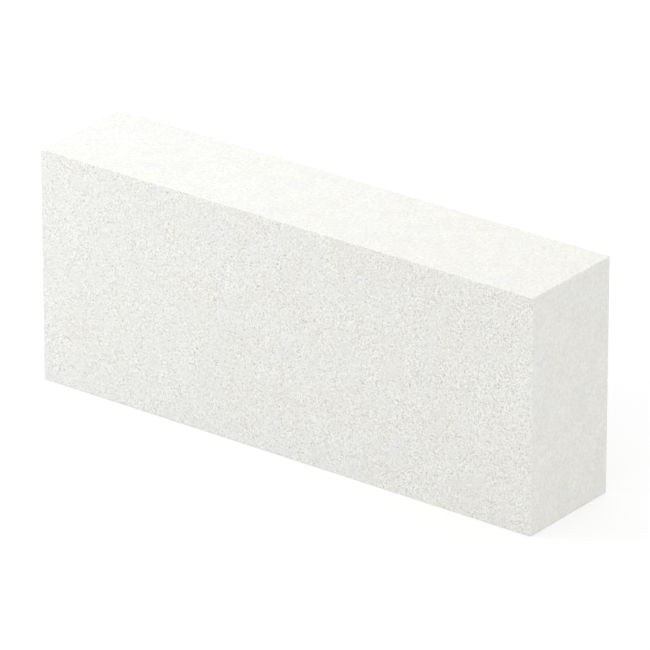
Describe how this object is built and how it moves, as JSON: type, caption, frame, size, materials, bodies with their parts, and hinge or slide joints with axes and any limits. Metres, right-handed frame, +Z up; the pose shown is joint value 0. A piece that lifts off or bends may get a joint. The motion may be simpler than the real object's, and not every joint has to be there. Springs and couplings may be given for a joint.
{
  "type": "aerated concrete block",
  "caption": "Plain rectangular block of white aerated concrete with open-pored wire-cut faces and lightly worn edges, laid in thin-bed mortar to build walls and partitions.",
  "frame": {"origin": "centre of the lower bed face, on the floor that the block stands on", "axes": "+X along the length towards the end that the picture shows, +Y through the thickness away from the wide face that the picture shows, +Z up"},
  "size_m": [0.6, 0.125, 0.25],
  "materials": {
    "aerated_concrete": "matt, white, finely pored"
  },
  "bodies": {
    "root": {"block": "aerated_concrete"}
  },
  "joints": []
}
